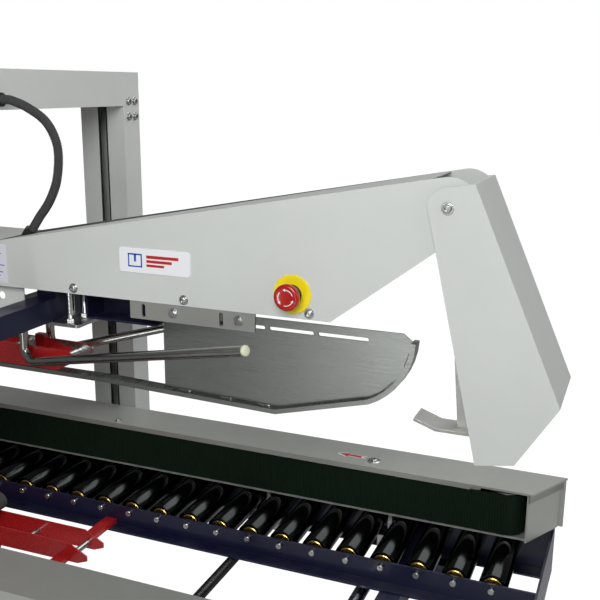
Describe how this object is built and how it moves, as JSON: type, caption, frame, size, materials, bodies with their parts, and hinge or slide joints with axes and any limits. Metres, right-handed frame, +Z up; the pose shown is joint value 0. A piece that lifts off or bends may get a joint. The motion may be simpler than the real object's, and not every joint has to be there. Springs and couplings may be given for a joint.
{
  "type": "carton sealer machine",
  "caption": "Side-belt carton sealer: roller bed, width-set belt rails, and a height-set tape head on a gantry with a flap sled and a swinging rear-flap kicker.",
  "frame": {"origin": "floor level, under the middle of the machine", "axes": "+X towards the infeed end, +Y towards the far side, +Z up"},
  "size_m": [1.781, 0.892, 1.586],
  "materials": {
    "light_paint": "light grey-green powder coat, satin",
    "navy_paint": "navy powder coat, satin",
    "red_paint": "red enamel, glossy",
    "zinc_steel": "zinc-plated or brushed steel",
    "sled_steel": "brushed stainless sheet",
    "bright_steel": "ground and chromed bar",
    "black_plastic": "black moulded plastic",
    "black_rubber": "black rubber",
    "belt_green": "dark green ribbed belt",
    "estop_red": "glossy red",
    "estop_yellow": "yellow plate",
    "start_green": "green push button",
    "plate_white": "white plate",
    "tape_tan": "packing tape on its core",
    "bracket_grey": "warm grey paint"
  },
  "bodies": {
    "base": {"bed_frame": "navy_paint", "bed_side_plates": "navy_paint", "bed_flanges": "navy_paint", "bed_rollers_near": "bright_steel", "bed_rollers_far": "bright_steel", "under_frame": "navy_paint", "height_legs": "zinc_steel", "levelling_feet": "black_rubber", "columns": "light_paint", "crossbar": "light_paint", "lift_chain": "zinc_steel", "width_guides": "bright_steel", "frame_bolts": "zinc_steel", "control_box": "light_paint", "lower_unit_frame": "red_paint"},
    "control_door": {"control_door": "light_paint"},
    "mode_switch": {"mode_switch": "black_plastic"},
    "start_button": {"start_button": "start_green"},
    "lift_screw_near": {"lift_screw_near": "bright_steel", "lift_crank": "black_plastic"},
    "lift_screw_far": {"lift_screw_far": "bright_steel"},
    "width_screw": {"width_screw": "bright_steel", "width_handwheel": "black_plastic"},
    "head": {"lift_carriage": "navy_paint", "head_spine": "navy_paint", "head_sides": "light_paint", "head_top_cover": "light_paint", "sled_bracket": "bracket_grey", "sled": "sled_steel", "side_guide_rods": "zinc_steel", "guide_posts": "bright_steel", "name_plate": "plate_white", "cover_bolts": "zinc_steel", "estop_base": "estop_yellow", "kicker_cylinder": "bright_steel", "upper_unit_frame": "red_paint", "air_conduit": "black_rubber"},
    "estop_button": {"estop_button": "estop_red"},
    "kicker": {"kicker_hood": "light_paint", "kicker_arm": "zinc_steel", "kicker_shaft": "zinc_steel"},
    "kicker_rod": {"kicker_rod": "bright_steel"},
    "rail_near": {"rail_near": "light_paint", "side_belt_near": "belt_green", "belt_motor_near": "light_paint"},
    "rail_far": {"rail_far": "light_paint", "side_belt_far": "belt_green", "belt_motor_far": "light_paint"},
    "drive_pulley_near": {"drive_pulley_near": "zinc_steel"},
    "idler_pulley_near": {"idler_pulley_near": "zinc_steel"},
    "drive_pulley_far": {"drive_pulley_far": "zinc_steel"},
    "idler_pulley_far": {"idler_pulley_far": "zinc_steel"},
    "upper_front_arm": {"upper_front_arm": "zinc_steel"},
    "upper_rear_arm": {"upper_rear_arm": "zinc_steel"},
    "upper_knife_arm": {"upper_knife_arm": "zinc_steel"},
    "upper_tape_roll": {"upper_tape_roll": "tape_tan"},
    "lower_front_arm": {"lower_front_arm": "zinc_steel"},
    "lower_rear_arm": {"lower_rear_arm": "zinc_steel"},
    "lower_knife_arm": {"lower_knife_arm": "zinc_steel"},
    "lower_tape_roll": {"lower_tape_roll": "tape_tan"}
  },
  "joints": [
    {"name": "head_lift", "type": "slide", "parent": "base", "child": "head", "axis": [0, 0, 1], "range_m": [-0.18, 0.19]},
    {"name": "lift_screw_near_turn", "type": "hinge", "parent": "base", "child": "lift_screw_near", "pos_m": [-0.13, -0.41, 0.5], "axis": [0, 0, 1], "continuous": true},
    {"name": "lift_screw_far_turn", "type": "hinge", "parent": "base", "child": "lift_screw_far", "pos_m": [-0.13, 0.41, 0.5], "axis": [0, 0, 1], "continuous": true},
    {"name": "rail_near_slide", "type": "slide", "parent": "base", "child": "rail_near", "axis": [0, 1, 0], "range_m": [0, 0.165]},
    {"name": "rail_far_slide", "type": "slide", "parent": "base", "child": "rail_far", "axis": [0, 1, 0], "range_m": [-0.165, 0]},
    {"name": "width_screw_turn", "type": "hinge", "parent": "base", "child": "width_screw", "pos_m": [0.297, 0, 0.572], "axis": [0, 1, 0], "continuous": true},
    {"name": "drive_pulley_near_turn", "type": "hinge", "parent": "rail_near", "child": "drive_pulley_near", "pos_m": [-0.8, -0.297, 0.65], "axis": [0, 0, 1], "continuous": true},
    {"name": "idler_pulley_near_turn", "type": "hinge", "parent": "rail_near", "child": "idler_pulley_near", "pos_m": [0.785, -0.297, 0.65], "axis": [0, 0, 1], "continuous": true},
    {"name": "drive_pulley_far_turn", "type": "hinge", "parent": "rail_far", "child": "drive_pulley_far", "pos_m": [-0.8, 0.297, 0.65], "axis": [0, 0, 1], "continuous": true},
    {"name": "idler_pulley_far_turn", "type": "hinge", "parent": "rail_far", "child": "idler_pulley_far", "pos_m": [0.785, 0.297, 0.65], "axis": [0, 0, 1], "continuous": true},
    {"name": "estop_press", "type": "slide", "parent": "head", "child": "estop_button", "axis": [0, 1, 0], "range_m": [0, 0.005], "stiffness_N_per_m": 400},
    {"name": "kicker_swing", "type": "hinge", "parent": "head", "child": "kicker", "pos_m": [0.729, 0, 1.305], "axis": [0, -1, 0], "range_deg": [0, 80]},
    {"name": "kicker_rod_slide", "type": "slide", "parent": "head", "child": "kicker_rod", "axis": [0.9833, 0, 0.1822], "range_m": [0, 0.0345]},
    {"name": "control_door_turn", "type": "hinge", "parent": "base", "child": "control_door", "pos_m": [-0.537, -0.378, 0.425], "axis": [0, 0, -1], "range_deg": [0, 110]},
    {"name": "mode_switch_turn", "type": "hinge", "parent": "control_door", "child": "mode_switch", "pos_m": [-0.3, -0.382, 0.48], "axis": [0, 1, 0], "range_deg": [-45, 45]},
    {"name": "start_button_press", "type": "slide", "parent": "control_door", "child": "start_button", "axis": [0, 1, 0], "range_m": [0, 0.004], "stiffness_N_per_m": 300},
    {"name": "upper_front_arm_swing", "type": "hinge", "parent": "head", "child": "upper_front_arm", "pos_m": [-0.265, 0, 0.992], "axis": [0, -1, 0], "range_deg": [0, 16], "stiffness_Nm_per_rad": 1.5, "springref_deg": -5.73},
    {"name": "upper_rear_arm_swing", "type": "hinge", "parent": "head", "child": "upper_rear_arm", "pos_m": [-0.315, 0, 0.992], "axis": [0, 1, 0], "range_deg": [0, 16]},
    {"name": "upper_knife_arm_swing", "type": "hinge", "parent": "head", "child": "upper_knife_arm", "pos_m": [-0.29, 0, 1.018], "axis": [0, 1, 0], "range_deg": [0, 20], "stiffness_Nm_per_rad": 1, "springref_deg": -5.73},
    {"name": "upper_tape_roll_turn", "type": "hinge", "parent": "head", "child": "upper_tape_roll", "pos_m": [-0.44, 0, 1.35], "axis": [0, 1, 0], "continuous": true},
    {"name": "lower_front_arm_swing", "type": "hinge", "parent": "base", "child": "lower_front_arm", "pos_m": [-0.265, 0, 0.608], "axis": [0, 1, 0], "range_deg": [0, 16], "stiffness_Nm_per_rad": 1.5, "springref_deg": -5.73},
    {"name": "lower_rear_arm_swing", "type": "hinge", "parent": "base", "child": "lower_rear_arm", "pos_m": [-0.315, 0, 0.608], "axis": [0, -1, 0], "range_deg": [0, 16]},
    {"name": "lower_knife_arm_swing", "type": "hinge", "parent": "base", "child": "lower_knife_arm", "pos_m": [-0.29, 0, 0.582], "axis": [0, -1, 0], "range_deg": [0, 20], "stiffness_Nm_per_rad": 1, "springref_deg": -5.73},
    {"name": "lower_tape_roll_turn", "type": "hinge", "parent": "base", "child": "lower_tape_roll", "pos_m": [-0.44, 0, 0.41], "axis": [0, 1, 0], "continuous": true}
  ],
  "couplings": [
    {"joint": "lift_screw_near_turn", "follows": "head_lift", "rad_per_m": 785.4},
    {"joint": "lift_screw_far_turn", "follows": "head_lift", "rad_per_m": 785.4},
    {"joint": "rail_far_slide", "follows": "rail_near_slide", "ratio": -1},
    {"joint": "width_screw_turn", "follows": "rail_near_slide", "rad_per_m": 785.4},
    {"joint": "idler_pulley_near_turn", "follows": "drive_pulley_near_turn", "ratio": 1},
    {"joint": "idler_pulley_far_turn", "follows": "drive_pulley_far_turn", "ratio": 1},
    {"joint": "kicker_rod_slide", "follows": "kicker_swing", "m_per_rad": 0.02394},
    {"joint": "upper_rear_arm_swing", "follows": "upper_front_arm_swing", "ratio": 1},
    {"joint": "lower_rear_arm_swing", "follows": "lower_front_arm_swing", "ratio": 1}
  ]
}
